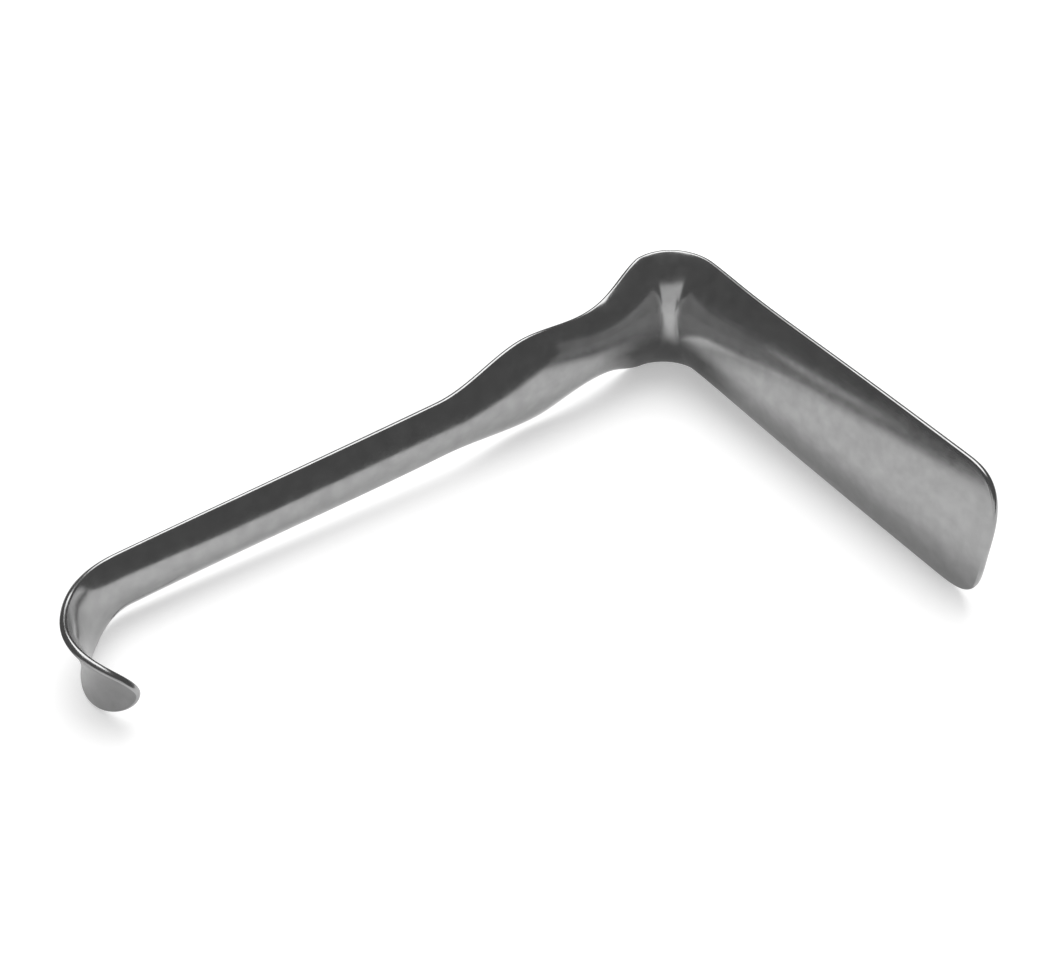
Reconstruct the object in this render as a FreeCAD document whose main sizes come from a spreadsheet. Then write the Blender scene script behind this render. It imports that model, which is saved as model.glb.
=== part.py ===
import FreeCAD, Part
import math
import os

import Sketcher

# A vaginal speculum pressed from one stainless sheet: hooked handle, neck and blade in a single
# open trough.  It is drawn with its plane of symmetry level: the handle along X with the hook at
# the left, the blade square to it along -Y, the widths along Z, and the hollow side outward of
# the bend.  It is then laid down to rest on its lower rim.
os.makedirs("parts", exist_ok=True)
doc = FreeCAD.newDocument("speculum")
Vector = FreeCAD.Vector

# Driving sizes, in millimetres and degrees.  A half width runs from the plane of symmetry to the
# rim, a depth from the middle of the sheet's inner side to the level of its rims.  A rounding is
# the length of an end's rounded corners, a bluntness the power of the superellipse they follow.
sizes = [
    ("sheet_thickness", 1.8),
    ("rim_roundness", 0.75),
    ("hook_radius", 15.5),
    ("hook_turn", 141),
    ("handle_run", 152),
    ("bend_radius", 4),
    ("blade_run", 103.7),
    ("tongue_half_width", 10),
    ("tongue_depth", 1.8),
    ("tongue_rounding", 16),
    ("tongue_bluntness", 1.8),
    ("hook_crown_share", 0.34),
    ("grip_half_width", 8.4),
    ("grip_depth", 3.6),
    ("neck_place", 68),
    ("neck_half_width", 8.9),
    ("neck_depth", 2),
    ("swell_place", 38.7),
    ("swell_half_width", 13.9),
    ("swell_depth", 4.7),
    ("waist_place", 11.8),
    ("waist_half_width", 12.9),
    ("waist_depth", 7.5),
    ("elbow_half_width", 18.9),
    ("elbow_depth", 9.5),
    ("root_place", 14),
    ("root_half_width", 18.9),
    ("root_depth", 8.2),
    ("belly_place", 45),
    ("belly_half_width", 19.2),
    ("belly_depth", 6.3),
    ("tip_half_width", 19),
    ("tip_depth", 3.7),
    ("tip_rounding", 13.3),
    ("tip_bluntness", 2.75),
]
sheet = doc.addObject("Spreadsheet::Sheet", "sizes")
for row, (name, value) in enumerate(sizes, start=1):
    sheet.set("A%d" % row, name)
    sheet.set("B%d" % row, str(value))
    sheet.setAlias("B%d" % row, name)
doc.recompute()


def size(name):
    """The value of one driving size."""
    return float(sheet.get(name))


# The fold path: hook, handle, bend and blade along the middle of the sheet's inner side.
body = doc.addObject("PartDesign::Body", "guides")
planes = {plane.Role: plane for plane in body.Origin.OriginFeatures}
path = body.newObject("Sketcher::SketchObject", "fold_path")
path.AttachmentSupport = [(planes["XY_Plane"], "")]
path.MapMode = "FlatFace"
up = Vector(0, 0, 1)
run, reach = size("handle_run"), size("blade_run")
curl, corner, turn = size("hook_radius"), size("bend_radius"), math.radians(size("hook_turn"))
hook = path.addGeometry(Part.ArcOfCircle(
    Part.Circle(Vector(-run, -curl, 0), up, curl), math.pi / 2, math.pi / 2 + turn))
handle = path.addGeometry(Part.LineSegment(Vector(-run, 0, 0), Vector(0, 0, 0)))
bend = path.addGeometry(Part.ArcOfCircle(
    Part.Circle(Vector(0, -corner, 0), up, corner), 0, math.pi / 2))
blade = path.addGeometry(Part.LineSegment(
    Vector(corner, -corner, 0), Vector(corner, -corner - reach, 0)))
rule = Sketcher.Constraint
path.addConstraint([
    rule("Coincident", handle, 2, -1, 1),
    rule("Horizontal", handle),
    rule("Tangent", hook, 1, handle, 1),
    rule("Tangent", handle, 2, bend, 2),
    rule("Tangent", bend, 1, blade, 1),
    rule("Vertical", blade),
])
for name, text, constraint in (
        ("curl", "hook_radius", rule("Radius", hook, curl)),
        ("turn", "hook_turn * 1 deg", rule("Angle", hook, turn)),
        ("run", "handle_run", rule("Distance", handle, run)),
        ("corner", "bend_radius", rule("Radius", bend, corner)),
        ("reach", "blade_run", rule("Distance", blade, reach))):
    path.renameConstraint(path.addConstraint(constraint), name)
    path.setExpression("Constraints." + name, "<<sizes>>." + text)
doc.recompute()


def rib(label, x, y, turn, half_width, depth):
    """A guide section of the sheet's inner side: one arc square to the fold path.

    x, y and turn are expressions for its place, half_width and depth name driving sizes.
    """
    sketch = body.newObject("Sketcher::SketchObject", label)
    sketch.AttachmentSupport = [(planes["YZ_Plane"], "")]
    sketch.MapMode = "FlatFace"
    sketch.AttachmentOffset = FreeCAD.Placement(Vector(0, 0, 0), FreeCAD.Rotation(Vector(0, 1, 0), 1))
    sketch.setExpression(".AttachmentOffset.Base.x", y)
    sketch.setExpression(".AttachmentOffset.Base.z", x)
    sketch.setExpression(".AttachmentOffset.Rotation.Angle", turn)
    w, h = size(half_width), size(depth)
    radius = (w * w + h * h) / (2 * h)
    spread = math.asin(w / radius)
    arc = sketch.addGeometry(Part.ArcOfCircle(
        Part.Circle(Vector(radius, 0, 0), up, radius), math.pi - spread, math.pi + spread))
    sketch.addConstraint([
        rule("PointOnObject", arc, 3, -1),
        rule("PointOnObject", -1, 1, arc),
        rule("Symmetric", arc, 1, arc, 2, -1),
    ])
    for name, alias, constraint in (
            ("half_width", half_width, rule("DistanceY", -1, 1, arc, 1, w)),
            ("depth", depth, rule("DistanceX", -1, 1, arc, 1, h))):
        sketch.renameConstraint(sketch.addConstraint(constraint), name)
        sketch.setExpression("Constraints." + name, "<<sizes>>." + alias)
    return sketch


def hook_rib(label, share, half_width, depth):
    """A rib on the hook, at a share of its turn counted from the grip."""
    angle = "<<sizes>>.hook_turn * %s" % share
    return rib(label, "-<<sizes>>.handle_run - <<sizes>>.hook_radius * sin(%s)" % angle,
               "-<<sizes>>.hook_radius * (1 - cos(%s))" % angle, angle, half_width, depth)


def handle_rib(label, place, half_width, depth):
    """A rib on the handle, at a named distance before the bend."""
    return rib(label, "-<<sizes>>." + place, "0", "0", half_width, depth)


def blade_rib(label, place, half_width, depth):
    """A rib on the blade, at a named distance past the bend."""
    return rib(label, "<<sizes>>.bend_radius", "-<<sizes>>.bend_radius - <<sizes>>." + place, "-90",
               half_width, depth)


# Ribs from the tongue to the blade tip.  Each carries its distance along the path, zero at the
# start of the bend, and whether width and depth stand level there, between a rise and a fall.
bend_length = corner * math.pi / 2
hook_length = curl * turn
crown = size("hook_crown_share")
ribs = [
    (-run - hook_length, True, hook_rib("tongue", "1", "tongue_half_width", "tongue_depth")),
    (-run - hook_length * crown, True,
     hook_rib("hook_crown", "<<sizes>>.hook_crown_share", "tongue_half_width", "tongue_depth")),
    (-run, True, handle_rib("grip_end", "handle_run", "grip_half_width", "grip_depth")),
    (-size("neck_place"), True, handle_rib("neck", "neck_place", "neck_half_width", "neck_depth")),
    (-size("swell_place"), True, handle_rib("swell", "swell_place", "swell_half_width", "swell_depth")),
    (-size("waist_place"), False, handle_rib("waist", "waist_place", "waist_half_width", "waist_depth")),
    (bend_length / 2, True, rib(
        "elbow", "<<sizes>>.bend_radius * sin(45)", "-<<sizes>>.bend_radius * (1 - cos(45))", "-45",
        "elbow_half_width", "elbow_depth")),
    (bend_length + size("root_place"), False,
     blade_rib("root", "root_place", "root_half_width", "root_depth")),
    (bend_length + size("belly_place"), False,
     blade_rib("belly", "belly_place", "belly_half_width", "belly_depth")),
    (bend_length + reach, False, blade_rib("tip", "blade_run", "tip_half_width", "tip_depth")),
]
doc.recompute()

# Width and depth between the ribs: one smooth curve of (distance, half width, depth).
marks = [Vector(place, guide.getDatum("half_width").Value, guide.getDatum("depth").Value)
         for place, level, guide in ribs]
law = Part.BSplineCurve()
law.interpolate(Points=marks, Parameters=[mark.x for mark in marks],
                Tangents=[Vector(1, 0, 0)] * len(marks),
                TangentFlags=[level for place, level, guide in ribs])


def on_path(place):
    """The point of the fold path at a distance along it, and the direction of the hollow side."""
    geometry = path.Geometry
    if place < -run:
        arc = geometry[hook]
        point = arc.value(math.pi / 2 - (place + run) / curl)
        return point, (point - arc.Center).normalize()
    if place < 0:
        return geometry[handle].value(place + run), Vector(0, 1, 0)
    if place < bend_length:
        arc = geometry[bend]
        point = arc.value(math.pi / 2 - place / corner)
        return point, (point - arc.Center).normalize()
    return geometry[blade].value(place - bend_length), Vector(1, 0, 0)


thickness, roundness = size("sheet_thickness"), size("rim_roundness")


def across(place, share):
    """Centre, radius and outward direction of the sheet at a share of its half width."""
    state = law.value(place)
    half_width, depth = state.y, state.z
    radius = (half_width ** 2 + depth ** 2) / (2 * depth)
    spread = math.asin(half_width / radius) - roundness / radius
    point, hollow = on_path(place)
    angle = spread * share
    return point + hollow * radius, radius, hollow * -math.cos(angle) + up * math.sin(angle)


# Plan of the sheet: long sides, and at both ends corners rounded as a superellipse.  A row starts
# and ends on the long sides; the rows of an end bow out to the middle of its edge.
first, last = -run - hook_length + roundness, bend_length + reach - roundness
columns = [-1 + j / 10 for j in range(21)]


def blunt(share, power):
    """The other coordinate of the unit superellipse."""
    return (1 - min(abs(share), 1) ** power) ** (1 / power)


def steps(start, stop, count):
    """Evenly spaced places from start up to stop, which is left out."""
    return [start + (stop - start) * k / count for k in range(count)]


def corner_rows(power):
    """Rows of a rounded end, from its edge to the long sides: (along, width), both from 0 to 1."""
    angles = [math.pi / 4 * (1 + k / 7) for k in range(7)]
    return [(math.cos(angle) ** (2 / power), math.sin(angle) ** (2 / power)) for angle in angles]


tongue_round, tip_round = size("tongue_rounding"), size("tip_rounding")
tongue_power, tip_power = size("tongue_bluntness"), size("tip_bluntness")
rows = [(first + tongue_round * (1 - along), width) for along, width in corner_rows(tongue_power)]
folds = []
for start, stop, count in (
        (first + tongue_round, -run, 7),
        (-run, -size("neck_place"), 12),
        (-size("neck_place"), -size("waist_place"), 14),
        (-size("waist_place"), 0, 9),
        (0, bend_length, 8),
        (bend_length, bend_length + size("root_place"), 8),
        (bend_length + size("root_place"), last - tip_round, 14)):
    folds.append(len(rows))
    rows += [(place, 1) for place in steps(start, stop, count)]
folds.append(len(rows))
rows.append((last - tip_round, 1))
rows += [(last - tip_round * (1 - along), width)
         for along, width in reversed(corner_rows(tip_power))]


def bow(place, column):
    """How far a row near an end bows out along the path at one column."""
    out = 0
    for end, rounding, power, way in (
            (first, tongue_round, tongue_power, -1), (last, tip_round, tip_power, 1)):
        meet = 0.5 ** (1 / power)
        start = end - way * rounding * (1 - meet)
        near = 1 - (start - place) * way / (1.6 * rounding)
        if near > 0:
            out += way * near ** 2 * rounding * (blunt(meet * column, power) - meet)
    return out


grid = [[across(place + bow(place, column), width * column) for column in columns]
        for place, width in rows]


def level_point(cell, drop):
    """The point of a grid cell at a drop below the inner side of the sheet."""
    centre, radius, ray = cell
    return centre + ray * (radius - drop)


# The rim, all round the plan: half an ellipse from the inner side to the hollow side, square to
# the edge of the plan and in the plane of the sheet's thickness.
high, wide = len(rows) - 1, len(columns) - 1
loop = ([(i, wide) for i in range(high)] + [(high, j) for j in range(wide, 0, -1)]
        + [(i, 0) for i in range(high, 0, -1)] + [(0, j) for j in range(wide)])
rolls = {}
facets = 4
for k, (i, j) in enumerate(loop):
    before, here, after = (level_point(grid[a][b], thickness / 2) for a, b in (
        loop[k - 1], loop[k], loop[(k + 1) % len(loop)]))
    back, ahead = here - before, after - here
    along = back * (ahead.Length / back.Length) + ahead * (back.Length / ahead.Length)
    ray = grid[i][j][2]
    outward = ray.cross(along).normalize()
    rolls[i, j] = [here + ray * (thickness / 2 * math.cos(a)) + outward * (roundness * math.sin(a))
                   for a in (math.pi * n / facets for n in range(facets + 1))]


def weave(points, along, crosswise, breaks):
    """Smooth faces through a grid of points, divided at some of the lengthwise parameters."""
    lengthwise = []
    for column in zip(*points):
        curve = Part.BSplineCurve()
        curve.interpolate(Points=list(column), Parameters=along)
        lengthwise.append(curve)
    poles = []
    for row in zip(*(curve.getPoles() for curve in lengthwise)):
        girth = Part.BSplineCurve()
        girth.interpolate(Points=list(row), Parameters=crosswise)
        poles.append(girth.getPoles())
    surface = Part.BSplineSurface()
    surface.buildFromPolesMultsKnots(
        poles, curve.getMultiplicities(), girth.getMultiplicities(),
        curve.getKnots(), girth.getKnots(), False, False, curve.Degree, girth.Degree)
    parts = []
    for start, stop in zip([0] + breaks, breaks + [1]):
        part = surface.copy()
        part.segment(start, stop, 0, 1)
        parts.append(part.toShape())
    return parts


def spread_along(points):
    """Parameters from 0 to 1 by the distance travelled through a row of points."""
    total = [0]
    for before, after in zip(points, points[1:]):
        total.append(total[-1] + before.distanceToPoint(after))
    return [value / total[-1] for value in total]


inner = [[level_point(cell, 0) for cell in row] for row in grid]
hollow = [[level_point(cell, thickness) for cell in row] for row in grid]
along = spread_along([row[wide] for row in inner])
crosswise = spread_along(inner[high // 2])
breaks = [along[row] for row in folds]
faces = weave(inner, along, crosswise, breaks) + weave(hollow, along, crosswise, breaks)
for n in range(facets):
    for j in (0, wide):
        strip = [rolls[i, j][n:n + 2] for i in range(high + 1)]
        faces += weave(strip, along, [0, 1], breaks)
    for i in (0, high):
        strip = [rolls[i, j][n:n + 2] for j in range(wide + 1)]
        faces += weave(strip, crosswise, [0, 1], [])
skin = Part.makeShell(faces)
skin.sewShape()
solid = Part.makeSolid(skin)
if solid.Volume < 0:
    solid.reverse()


def settle(points, mass):
    """The placement in which a body lying on some of its points comes to rest."""
    placed = FreeCAD.Placement()
    held = [min(range(len(points)), key=lambda n: points[n].z)]
    for tip in range(20):
        here = [placed.multVec(point) for point in points]
        base = here[held[0]]
        weight = placed.multVec(mass) - base
        way = weight if len(held) == 1 else up.cross(here[held[1]] - base)
        if way.dot(weight) < 0:
            way = way * -1
        way = Vector(way.x, way.y, 0).normalize()
        angle, touched = min(
            (math.atan2(point.z - base.z, (point - base).dot(way)), n)
            for n, point in enumerate(here) if (point - base).dot(way) > 0.01)
        fall = FreeCAD.Rotation(up.cross(way), math.degrees(angle))
        placed = FreeCAD.Placement(Vector(0, 0, 0), fall, base).multiply(placed)
        held.append(touched)
        if len(held) < 3:
            continue
        corners = [placed.multVec(points[n]) for n in held]
        weight = placed.multVec(mass)
        beyond = [k for k in range(3)
                  if up.cross(corners[k - 1] - corners[k - 2]).dot(corners[k] - corners[k - 1])
                  * up.cross(corners[k - 1] - corners[k - 2]).dot(weight - corners[k - 1]) < 0]
        if not beyond:
            break
        held = [held[beyond[0] - 1], held[beyond[0] - 2]]
    return placed


speculum = doc.addObject("Part::Feature", "speculum")
speculum.Label = "speculum"
speculum.Shape = solid
rest = settle([point for roll in rolls.values() for point in roll], solid.CenterOfMass)
speculum.Placement = rest
box = speculum.Shape.optimalBoundingBox(False)
speculum.Placement = FreeCAD.Placement(
    Vector(-box.Center.x, -box.Center.y, -box.ZMin), FreeCAD.Rotation()).multiply(rest)
doc.recompute()

for item in doc.Objects:
    if "Invalid" in item.State or "Error" in item.State:
        raise RuntimeError("%s did not recompute" % item.Label)
if speculum.Shape.isNull() or not speculum.Shape.isValid():
    raise RuntimeError("the speculum is not a valid solid")
speculum.Shape.exportStep("parts/%s.step" % speculum.Label)
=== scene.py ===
import math

import bpy
import numpy as np
from mathutils import Euler, Matrix, Vector


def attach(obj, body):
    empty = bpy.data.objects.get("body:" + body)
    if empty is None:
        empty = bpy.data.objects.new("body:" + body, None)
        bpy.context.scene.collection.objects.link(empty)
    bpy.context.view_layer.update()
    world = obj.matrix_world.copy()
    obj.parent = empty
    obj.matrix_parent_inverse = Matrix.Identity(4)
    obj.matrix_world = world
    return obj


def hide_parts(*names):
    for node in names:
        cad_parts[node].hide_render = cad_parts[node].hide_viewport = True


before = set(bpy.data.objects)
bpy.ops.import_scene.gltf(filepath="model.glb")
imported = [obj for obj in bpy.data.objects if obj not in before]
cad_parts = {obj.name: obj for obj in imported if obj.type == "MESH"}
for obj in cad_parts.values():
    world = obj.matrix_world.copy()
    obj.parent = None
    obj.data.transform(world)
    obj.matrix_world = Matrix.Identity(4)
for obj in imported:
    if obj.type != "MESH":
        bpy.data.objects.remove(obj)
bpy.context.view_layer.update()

# The fold path: how the sheet runs from the hook along the handle, round the bend and down the
# blade.  The real tool is pressed from one blank of stainless sheet, so these few sizes place
# every part of it.
MM = 0.001
SHEET = 1.8 * MM
HOOK_RADIUS = 15.5 * MM
HOOK_TURN = math.radians(141)
HANDLE_RUN = 152 * MM
BEND_RADIUS = 4 * MM
BEND_TURN = math.radians(90)
BLADE_RUN = 103.7 * MM
HOOK_LENGTH = HOOK_RADIUS * HOOK_TURN
BEND_LENGTH = BEND_RADIUS * BEND_TURN
TONGUE_EDGE = -HANDLE_RUN - HOOK_LENGTH
TIP_EDGE = BEND_LENGTH + BLADE_RUN

# The pressed section: at each rib the half width and depth of the trough, in millimetres.  The
# hook and handle are a narrow channel, which swells before the waist and widens into the blade.
# At a level rib neither of the two rises or falls.
RIBS = [
    # distance along the path, half width, depth, level
    (TONGUE_EDGE, 10.0, 1.8, True),
    (-HANDLE_RUN - HOOK_LENGTH * 0.34, 10.0, 1.8, True),
    (-HANDLE_RUN, 8.4, 3.6, True),
    (-68 * MM, 8.9, 2.0, True),
    (-38.7 * MM, 13.9, 4.7, True),
    (-11.8 * MM, 12.9, 7.5, False),
    (BEND_LENGTH / 2, 18.9, 9.5, True),
    (BEND_LENGTH + 14 * MM, 18.9, 8.2, False),
    (BEND_LENGTH + 45 * MM, 19.2, 6.3, False),
    (TIP_EDGE, 19.0, 3.7, False),
]


def rib_law(at):
    """Half width and depth at distances along the path: a smooth cubic through the ribs."""
    place = np.array([rib[0] for rib in RIBS])
    value = np.array([rib[1:3] for rib in RIBS]) * MM
    step = np.diff(place)[:, None]
    rise = np.diff(value, axis=0) / step
    # the slopes at the ribs: none at a level rib, and an even bend through the others
    matrix, known = np.zeros((len(RIBS), len(RIBS))), np.zeros_like(value)
    for k, rib in enumerate(RIBS):
        if rib[3]:
            matrix[k, k] = 1
        elif k == len(RIBS) - 1:
            matrix[k, k - 1:] = 1, 2
            known[k] = 3 * rise[k - 1]
        else:
            before, after = step[k - 1, 0], step[k, 0]
            matrix[k, k - 1:k + 2] = after, 2 * (before + after), before
            known[k] = 3 * (after * rise[k - 1] + before * rise[k])
    slope = np.linalg.solve(matrix, known)
    k = np.clip(np.searchsorted(place, at) - 1, 0, len(RIBS) - 2)
    t = ((at - place[k]) / step[k, 0])[..., None]
    return (value[k] * (1 - t) ** 2 * (1 + 2 * t) + value[k + 1] * t ** 2 * (3 - 2 * t)
            + step[k] * t * (1 - t) * (slope[k] * (1 - t) - slope[k + 1] * t))


# The blank: the flat plate that the tool is pressed from, cut out of stainless sheet.  Its ends
# are superellipses, blunt at the blade's tip and nearly round at the tongue.  The rows of points
# across it lie closer where the path is bent.
COLUMNS = 48
CORNER_ROWS = 15
EDGE_STRIP = 1.5 * MM
ENDS = [
    # edge, way out, rounding length, bluntness
    (TONGUE_EDGE, -1, 16.75 * MM, 1.8),
    (TIP_EDGE, 1, 14.05 * MM, 2.75),
]
# the rows bow out like the end they lie near, over so many of its rounding lengths
BOWED = 1.6
# where the rows change their step, and how many lie before, between and after these places
STOPS = (-HANDLE_RUN, -15 * MM, -1 * MM, BEND_LENGTH + 1 * MM, BEND_LENGTH + 15 * MM)
ROWS = (35, 110, 28, 40, 28, 64)
share = np.linspace(-1, 1, COLUMNS + 1)
corner_angle = math.pi / 4 + np.linspace(0, math.pi / 4, CORNER_ROWS)


def plan(inset):
    """Rows of the plate's plan, drawn in from its outline: distance, side place, section radius."""
    ends = [(edge - way * inset, way, rounding - inset, power)
            for edge, way, rounding, power in ENDS]
    along = [edge - way * rounding * (1 - np.cos(corner_angle) ** (2 / power))
             for edge, way, rounding, power in ends]
    width = [np.sin(corner_angle) ** (2 / power) for edge, way, rounding, power in ends]
    stops = (along[0][-1], *STOPS, along[1][-1])
    middle = np.concatenate([np.linspace(begin, end, count + 1)[1:]
                             for begin, end, count in zip(stops, stops[1:], ROWS)])
    rows = np.concatenate([along[0], middle[:-1], along[1][::-1]])
    widths = np.concatenate([width[0], np.ones(len(middle) - 1), width[1][::-1]])
    place = np.repeat(rows[:, None], COLUMNS + 1, axis=1)
    for edge, way, rounding, power in ends:
        meet = 0.5 ** (1 / power)
        first_row = edge - way * rounding * (1 - meet)
        near = np.clip(1 - (first_row - rows) * way / (BOWED * rounding), 0, None) ** 2
        bulge = (1 - np.abs(meet * share) ** power) ** (1 / power) - meet
        place += way * rounding * near[:, None] * bulge
    half_width, depth = np.moveaxis(rib_law(place), -1, 0)
    radius = (half_width ** 2 + depth ** 2) / (2 * depth)
    side = (radius * np.arcsin(half_width / radius) - inset) * widths[:, None] * share
    return place, side, radius


def round_the_edge(table):
    """The entries of a table of rows along its four sides, once round."""
    return np.concatenate([table[0, :-1], table[:-1, -1], table[-1, :0:-1], table[:0:-1, 0]])


def new_object(name, data):
    """An object of the scene, at the origin."""
    made = bpy.data.objects.new(name, data)
    bpy.context.collection.objects.link(made)
    return made


field, outline = plan(EDGE_STRIP), plan(0)
flat = [np.concatenate([inside.ravel(), round_the_edge(outside)])
        for inside, outside in zip(field, outline)]
points = len(flat[0])
number = np.arange(field[0].size).reshape(field[0].shape)
inner_edge = round_the_edge(number)
outer_edge = field[0].size + np.arange(len(inner_edge))
next_outer = np.roll(outer_edge, -1)
squares = np.stack([number[:-1, :-1], number[:-1, 1:], number[1:, 1:], number[1:, :-1]], axis=-1)
strip = np.stack([outer_edge, next_outer, np.roll(inner_edge, -1), inner_edge], axis=-1)
faces = np.concatenate([squares.reshape(-1, 4), strip])
walls = np.stack([outer_edge, outer_edge + points, next_outer + points, next_outer], axis=-1)
under = np.stack([flat[0], flat[1], np.zeros(points)], axis=-1)
blank = bpy.data.meshes.new("speculum_blank")
blank.from_pydata(np.concatenate([under, under + (0, 0, SHEET)]).tolist(), [],
                  np.concatenate([faces[:, ::-1], faces + points, walls[:, ::-1]]).tolist())
blank.attributes.new("section_radius", "FLOAT", "POINT").data.foreach_set(
    "value", np.tile(flat[2], 2).astype(np.float32))
speculum = new_object("speculum_sheet", blank)

# The press: one tree of nodes that rolls the blank to its trough section and folds it along the
# path, with the blank's upper side turned to the hollow.
press = bpy.data.node_groups.new("press_the_sheet", "GeometryNodeTree")
press.interface.new_socket("Geometry", in_out="INPUT", socket_type="NodeSocketGeometry")
for name, value in (("Hook radius", HOOK_RADIUS), ("Handle run", HANDLE_RUN),
                    ("Bend radius", BEND_RADIUS), ("Bend turn", BEND_TURN)):
    size = press.interface.new_socket(name, in_out="INPUT", socket_type="NodeSocketFloat")
    size.default_value = value
press.interface.new_socket("Steel", in_out="INPUT", socket_type="NodeSocketMaterial")
press.interface.new_socket("Geometry", in_out="OUTPUT", socket_type="NodeSocketGeometry")
sizes_in = press.nodes.new("NodeGroupInput").outputs


def math_in(tree):
    """A function that adds a math node to a tree, on numbers or other nodes' outputs."""
    def added(operation, *values):
        node = tree.nodes.new("ShaderNodeMath")
        node.operation = operation
        for socket, value in zip(node.inputs, values):
            if isinstance(value, bpy.types.NodeSocket):
                tree.links.new(value, socket)
            else:
                socket.default_value = value
        return node.outputs[0]
    return added


calc = math_in(press)
at = press.nodes.new("ShaderNodeSeparateXYZ")
press.links.new(press.nodes.new("GeometryNodeInputPosition").outputs[0], at.inputs[0])
distance = at.outputs["X"]
rolled = press.nodes.new("GeometryNodeInputNamedAttribute")
rolled.data_type = "FLOAT"
rolled.inputs["Name"].default_value = "section_radius"
section = rolled.outputs["Attribute"]
roll_angle = calc("DIVIDE", at.outputs["Y"], section)
reach_out = calc("SUBTRACT", section, at.outputs["Z"])
sideways = calc("MULTIPLY", reach_out, calc("SINE", roll_angle))
lift = calc("SUBTRACT", section, calc("MULTIPLY", reach_out, calc("COSINE", roll_angle)))

curl, run = sizes_in["Hook radius"], sizes_in["Handle run"]
turn_radius, turn = sizes_in["Bend radius"], sizes_in["Bend turn"]
past_grip = calc("SUBTRACT", calc("MULTIPLY", distance, -1.0), run)
hook_angle = calc("DIVIDE", calc("MAXIMUM", past_grip, 0.0), curl)
bend_angle = calc("MINIMUM", calc("DIVIDE", calc("MAXIMUM", distance, 0.0), turn_radius), turn)
past_bend = calc("SUBTRACT", distance, calc("MULTIPLY", turn_radius, turn))
down_blade = calc("MAXIMUM", past_bend, 0.0)
on_handle = calc("MINIMUM", calc("MAXIMUM", distance, calc("MULTIPLY", run, -1.0)), 0.0)
bend_out = calc("MULTIPLY", turn_radius, calc("SINE", bend_angle))
hook_out = calc("MULTIPLY", curl, calc("SINE", hook_angle))
path_x = calc("ADD", on_handle, calc("SUBTRACT", bend_out, hook_out))
bend_drop = calc("MULTIPLY", turn_radius, calc("SUBTRACT", 1.0, calc("COSINE", bend_angle)))
hook_drop = calc("MULTIPLY", curl, calc("SUBTRACT", 1.0, calc("COSINE", hook_angle)))
path_y = calc("MULTIPLY", calc("ADD", down_blade, calc("ADD", bend_drop, hook_drop)), -1.0)
hollow_x = calc("SUBTRACT", calc("SINE", bend_angle), calc("SINE", hook_angle))
hollow_y = calc("MULTIPLY", calc("COSINE", bend_angle), calc("COSINE", hook_angle))

pressed = press.nodes.new("ShaderNodeCombineXYZ")
press.links.new(calc("ADD", path_x, calc("MULTIPLY", hollow_x, lift)), pressed.inputs["X"])
press.links.new(calc("ADD", path_y, calc("MULTIPLY", hollow_y, lift)), pressed.inputs["Y"])
press.links.new(sideways, pressed.inputs["Z"])
move = press.nodes.new("GeometryNodeSetPosition")
press.links.new(sizes_in["Geometry"], move.inputs["Geometry"])
press.links.new(pressed.outputs[0], move.inputs["Position"])
realize = press.nodes.new("GeometryNodeRealizeInstances")
press.links.new(move.outputs[0], realize.inputs[0])
paint = press.nodes.new("GeometryNodeSetMaterial")
press.links.new(realize.outputs[0], paint.inputs["Geometry"])
press.links.new(sizes_in["Steel"], paint.inputs["Material"])
press.links.new(paint.outputs[0], press.nodes.new("NodeGroupOutput").inputs[0])

# Satin steel: ground and polished stainless, fine in grain, with the faint unevenness that
# pressing and hand polishing leave in its reflections.
GREY = (0.297, 0.353)
ROUGHNESS = (0.16, 0.23)
NOISE = (0.3, 0.7)
RELIEF = 0.2
GRAIN_DEPTH = 0.02 * MM
WAVE_DEPTH = 0.3 * MM


def new_material(name):
    """A material with nodes, and its tree."""
    material = bpy.data.materials.new(name)
    material.use_nodes = True
    return material, material.node_tree


steel, steel_tree = new_material("satin_steel")
where = steel_tree.nodes.new("ShaderNodeTexCoord").outputs["Object"]


def grain(scale, detail, rough=0.5):
    """A noise over the piece, at so many cells a metre."""
    noise = steel_tree.nodes.new("ShaderNodeTexNoise")
    noise.inputs["Scale"].default_value = scale
    noise.inputs["Detail"].default_value = detail
    noise.inputs["Roughness"].default_value = rough
    steel_tree.links.new(where, noise.inputs["Vector"])
    return noise.outputs["Fac"]


def stretched(tree, value, span, result):
    """A value's span between two numbers, stretched to run between two others."""
    node = tree.nodes.new("ShaderNodeMapRange")
    for socket, limit in zip(("From Min", "From Max", "To Min", "To Max"), span + result):
        node.inputs[socket].default_value = limit
    tree.links.new(value, node.inputs["Value"])
    return node.outputs["Result"]


def relief(height, depth):
    """A bump node that turns a noise to low relief, so many metres deep."""
    node = steel_tree.nodes.new("ShaderNodeBump")
    node.inputs["Strength"].default_value = RELIEF
    node.inputs["Distance"].default_value = depth
    steel_tree.links.new(height, node.inputs["Height"])
    return node


shader = steel_tree.nodes["Principled BSDF"]
shader.inputs["Metallic"].default_value = 1.0
tone = steel_tree.nodes.new("ShaderNodeCombineColor")
shade = stretched(steel_tree, grain(260, 6), NOISE, GREY)
for channel in tone.inputs[:3]:
    steel_tree.links.new(shade, channel)
steel_tree.links.new(tone.outputs[0], shader.inputs["Base Color"])
polish = stretched(steel_tree, grain(420, 5), NOISE, ROUGHNESS)
steel_tree.links.new(polish, shader.inputs["Roughness"])
fine = relief(grain(3500, 3, 0.6), GRAIN_DEPTH)
steel_tree.links.new(relief(grain(45, 2), WAVE_DEPTH).outputs[0], fine.inputs["Normal"])
steel_tree.links.new(fine.outputs[0], shader.inputs["Normal"])

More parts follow.
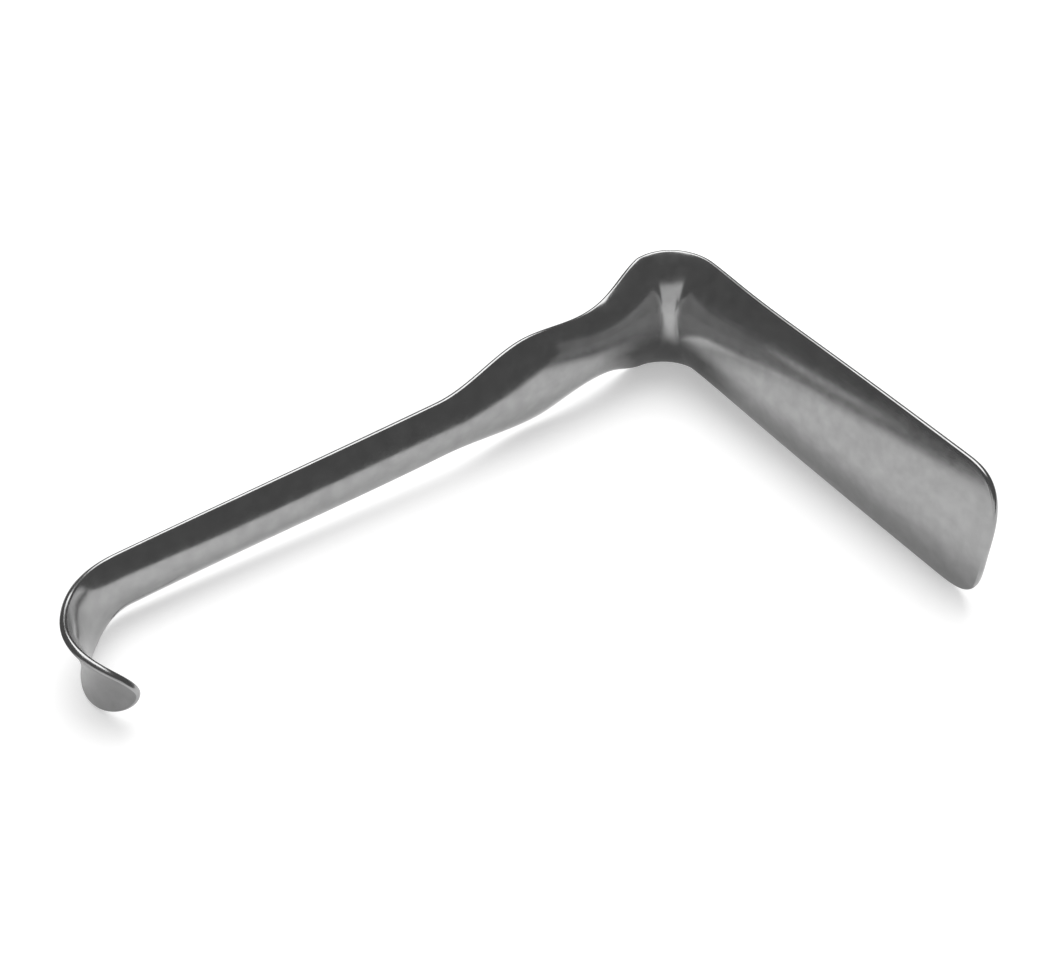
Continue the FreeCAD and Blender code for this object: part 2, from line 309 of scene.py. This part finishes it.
# The pressed sheet: one piece from hook to tip, with its rims ground round.  The tool lies on its
# side on the table.  The handle is narrower than the blade, so it leans until the tongue's rim
# touches.
RIM_RADIUS = 0.75 * MM
LEAN = Euler((math.radians(-0.3026), math.radians(-2.8902), 0))
BEND_PLACE = Vector((77.9105, 48.7364, 18.203)) * MM
pressing = speculum.modifiers.new("press", "NODES")
pressing.node_group = press
identifiers = {item.name: item.identifier
               for item in press.interface.items_tree if item.in_out == "INPUT"}
pressing[identifiers["Steel"]] = steel
rim = speculum.modifiers.new("rim", "BEVEL")
rim.width = RIM_RADIUS
rim.segments = 6
rim.limit_method = "ANGLE"
rim.angle_limit = math.radians(60)
rim.use_clamp_overlap = False
finished = bpy.data.meshes.new_from_object(
    speculum.evaluated_get(bpy.context.evaluated_depsgraph_get()))
speculum.modifiers.clear()
speculum.data = finished
finished.name = "speculum_sheet"
finished.attributes.remove(finished.attributes["section_radius"])
finished.polygons.foreach_set("use_smooth", [True] * len(finished.polygons))
finished.transform(Matrix.Translation(BEND_PLACE) @ LEAN.to_matrix().to_4x4())
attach(speculum, "root")
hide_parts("speculum")

# The table: a plain sheet of white card, which takes the tool's soft shadow.  Its own white shows
# to the camera and in the steel, and rises outwards, so that no grey band shows far off.
TABLE_REACH = 3.0
TABLE_GREY = (0.86, 0.86, 0.86, 1)
OUT_FROM_TOOL = (0.3, 1.5)
OWN_WHITE = (0.35, 0.6)


def shown(tree):
    """One for what the camera sees, straight, mirrored or through glass, and nought otherwise."""
    calc = math_in(tree)
    ray = tree.nodes.new("ShaderNodeLightPath").outputs
    mirrored = calc("ADD", ray["Is Glossy Ray"], ray["Is Transmission Ray"])
    return calc("MINIMUM", calc("ADD", ray["Is Camera Ray"], mirrored), 1.0)


table = bpy.data.meshes.new("table_top")
table.from_pydata([(-TABLE_REACH, -TABLE_REACH, 0), (TABLE_REACH, -TABLE_REACH, 0),
                   (TABLE_REACH, TABLE_REACH, 0), (-TABLE_REACH, TABLE_REACH, 0)],
                  [], [(0, 1, 2, 3)])
table_top = new_object("table_top", table)
card, card_tree = new_material("white_card")
surface = card_tree.nodes["Principled BSDF"].inputs
surface["Base Color"].default_value = TABLE_GREY
surface["Roughness"].default_value = 1.0
surface["Specular IOR Level"].default_value = 0.0
surface["Emission Color"].default_value = (1, 1, 1, 1)
outwards = card_tree.nodes.new("ShaderNodeVectorMath")
outwards.operation = "LENGTH"
card_tree.links.new(card_tree.nodes.new("ShaderNodeTexCoord").outputs["Object"],
                    outwards.inputs[0])
white = stretched(card_tree, outwards.outputs["Value"], OUT_FROM_TOOL, OWN_WHITE)
calc = math_in(card_tree)
card_tree.links.new(calc("MULTIPLY", shown(card_tree), white), surface["Emission Strength"])
table.materials.append(card)

# The light: a plain room, dim as a light but white to the camera and in the steel, and one large
# soft lamp, high behind the tool.
ROOM_LIGHT = 0.5
LAMP_SIZE = 0.9
LAMP_POWER = 7.6
LAMP_PLACE = (0.17, 0.26, 1.05)
room = bpy.data.worlds.new("dim_room")
bpy.context.scene.world = room
room.use_nodes = True
air = room.node_tree.nodes["Background"].inputs
air["Color"].default_value = (1, 1, 1, 1)
calc = math_in(room.node_tree)
room.node_tree.links.new(calc("MAXIMUM", shown(room.node_tree), ROOM_LIGHT), air["Strength"])
lamp = bpy.data.lights.new("softbox", "AREA")
lamp.size = LAMP_SIZE
lamp.energy = LAMP_POWER
softbox = new_object("softbox", lamp)
softbox.location = LAMP_PLACE
softbox.rotation_euler = softbox.location.to_track_quat("Z", "Y").to_euler()

# Dark cards: stage pieces of black cloth, which give the bright steel its dark side.  A round
# screen with a ceiling, as high as it is far off, stands about the table.  It is open below its
# sill on the side of the hollow corner.  The cards' places and heights are in millimetres.
SCREEN = 1400
SILL = 700
PANELS = 24
OPEN_PANELS = range(12, 18)
cards, darkness = [], []


def put_up(corners, shades=None):
    """One card by its corners, with how dark it is at each: fully, if not told."""
    cards.append([Vector(corner) * MM for corner in corners])
    darkness.extend(shades or [1.0] * len(corners))


def stand(line):
    """Upright cards along a line of places, with the heights of foot and top at each."""
    for (x0, y0, foot0, top0), (x1, y1, foot1, top1) in zip(line, line[1:]):
        put_up([(x0, y0, foot0), (x0, y0, top0), (x1, y1, top1), (x1, y1, foot1)])


ring = [(SCREEN * math.cos(math.tau * k / PANELS), SCREEN * math.sin(math.tau * k / PANELS))
        for k in range(PANELS + 1)]
for k, (begin, end) in enumerate(zip(ring, ring[1:])):
    foot = SILL if k in OPEN_PANELS else 0
    stand([(*begin, foot, SCREEN), (*end, foot, SCREEN)])
put_up([(x, y, SCREEN) for x, y in ring[:0:-1]])

# Low cards stand close by: one along the handle, whose foot rises at both ends, a very low one
# that crosses under the grip as a painted shadow of the grip on the table, and one that runs
# away past the hook.
CARD_TOP = 32
stand([(x, y, foot, CARD_TOP) for x, y, foot in (
    (-88, 28, 13), (-73, 28, 11), (-60, 28, 9), (-43, 28, 5), (-20, 28, 2.5), (0, 28, 0),
    (14, 29, 0), (26, 32.5, 2.5), (37, 35, 10), (53, 39.5, 23.5))])
# Painted shadow: this very low card stands for the grip's shadow on the table beneath it, seen only
# in the steel.
stand([(x, y, 0, top) for x, y, top in (
    (-30, 30, 6), (-46, 40, 6), (-54, 46.5, 3), (-64, 50.5, 2), (-78, 50.5, 2))])
stand([(x, y, 0, CARD_TOP) for x, y in ((-236, 159), (-155, 102), (-99, 62), (-118, 38))])

# Painted shadow: soft dark sheets lie on the table, seen only in the steel.  One, tucked under
# the blade and the bend, stands for the tool's shadow there and darkens smoothly outwards from its
# clear edge; a half dark one by the tongue is painted shade beside the hook.  The first is darker
# and its soft edge narrower at the bend than along the blade.
LAID = 0.2
TONGUE_SHADOW_SHEET = (-110, -90, 12, 46)
TONGUE_SHADE = 0.42
ACROSS = range(66, 97, 6)
ALONG = (-58, 26, 32, 38, 44, 58)
BLADE_TO_BEND = (26, 44)
SOFT_EDGE = (24, 14)
FULL_SHADE = (0.6, 1.0)


def lay_shadow(x0, x1, y0, y1, shades):
    """One flat sheet of painted shadow just over the table, with how dark it is at its corners."""
    put_up([(x0, y0, LAID), (x1, y0, LAID), (x1, y1, LAID), (x0, y1, LAID)], shades)


def shadow_under_blade(x, y):
    """How dark the painted shadow under the blade and bend is at a place: it grows smoothly over
    its soft edge.
    """
    share = min((x - ACROSS[0]) / np.interp(y, BLADE_TO_BEND, SOFT_EDGE), 1)
    return np.interp(y, BLADE_TO_BEND, FULL_SHADE) * share ** 2 * (3 - 2 * share)


# Painted shadow of the blade and the bend on the table, seen only in the steel.
for y0, y1 in zip(ALONG, ALONG[1:]):
    for x0, x1 in zip(ACROSS, ACROSS[1:]):
        lay_shadow(x0, x1, y0, y1, [shadow_under_blade(x0, y0), shadow_under_blade(x1, y0), shadow_under_blade(x1, y1), shadow_under_blade(x0, y1)])
# Painted shade on the table beside the hook's tongue, seen only in the steel.
lay_shadow(*TONGUE_SHADOW_SHEET, [TONGUE_SHADE] * 4)

# The cards' cloth, which also makes the sheets of painted shadow: a dim black, clear from behind.
# It shows in the steel's first reflection only: the camera doesn't see it, it casts no shadow and
# takes no light from the table.
CLOTH_AND_SHADOW_DIM = 0.175
FIRST_REFLECTION = 1.5
cards_and_shadow_sheets = bpy.data.meshes.new("dark_cards")
starts = np.cumsum([0] + [len(corners) for corners in cards])
cards_and_shadow_sheets.from_pydata([corner for corners in cards for corner in corners], [],
                 [tuple(range(begin, end)) for begin, end in zip(starts, starts[1:])])
cards_and_shadow_sheets.attributes.new("darkness", "FLOAT", "POINT").data.foreach_set("value", darkness)
dark_cards = new_object("dark_cards", cards_and_shadow_sheets)
dark_cards.visible_camera = False
dark_cards.visible_diffuse = False
dark_cards.visible_shadow = False
cloth_and_shadow, cloth_and_shadow_tree = new_material("dark_cloth_and_painted_shadow")
cloth_and_shadow_tree.nodes.remove(cloth_and_shadow_tree.nodes["Principled BSDF"])
dim = cloth_and_shadow_tree.nodes.new("ShaderNodeEmission")
dim.inputs["Strength"].default_value = CLOTH_AND_SHADOW_DIM
amount = cloth_and_shadow_tree.nodes.new("ShaderNodeAttribute")
amount.attribute_name = "darkness"
behind = cloth_and_shadow_tree.nodes.new("ShaderNodeNewGeometry").outputs["Backfacing"]
depth = cloth_and_shadow_tree.nodes.new("ShaderNodeLightPath").outputs["Glossy Depth"]
calc = math_in(cloth_and_shadow_tree)
in_front = calc("MULTIPLY", calc("SUBTRACT", 1.0, behind), amount.outputs["Fac"])
first = calc("LESS_THAN", depth, FIRST_REFLECTION)
covers = cloth_and_shadow_tree.nodes.new("ShaderNodeMixShader")
cloth_and_shadow_tree.links.new(calc("MULTIPLY", in_front, first), covers.inputs[0])
clear = cloth_and_shadow_tree.nodes.new("ShaderNodeBsdfTransparent")
cloth_and_shadow_tree.links.new(clear.outputs[0], covers.inputs[1])
cloth_and_shadow_tree.links.new(dim.outputs[0], covers.inputs[2])
cloth_and_shadow_tree.links.new(covers.outputs[0], cloth_and_shadow_tree.nodes["Material Output"].inputs["Surface"])
cards_and_shadow_sheets.materials.append(cloth_and_shadow)

# The camera looks down over the hook end, from inside the corner of handle and blade.
AIM = Vector((0.01669, 0.02318, 0.01525))
AWAY = 0.333
azimuth, elevation, roll = (math.radians(angle) for angle in (-36.667, 42.143, 1.209))
camera = new_object("camera", bpy.data.cameras.new("camera"))
camera.data.lens = 47.82
camera.data.sensor_width = 36
camera.data.clip_start = 0.01
back = Vector((math.sin(azimuth) * math.cos(elevation), -math.cos(azimuth) * math.cos(elevation),
               math.sin(elevation)))
view = (-back).to_track_quat("-Z", "Y") @ Euler((0, 0, roll)).to_quaternion()
camera.rotation_euler = view.to_euler()
camera.location = AIM + back * AWAY
bpy.context.scene.camera = camera
bpy.context.scene.view_settings.view_transform = "Standard"
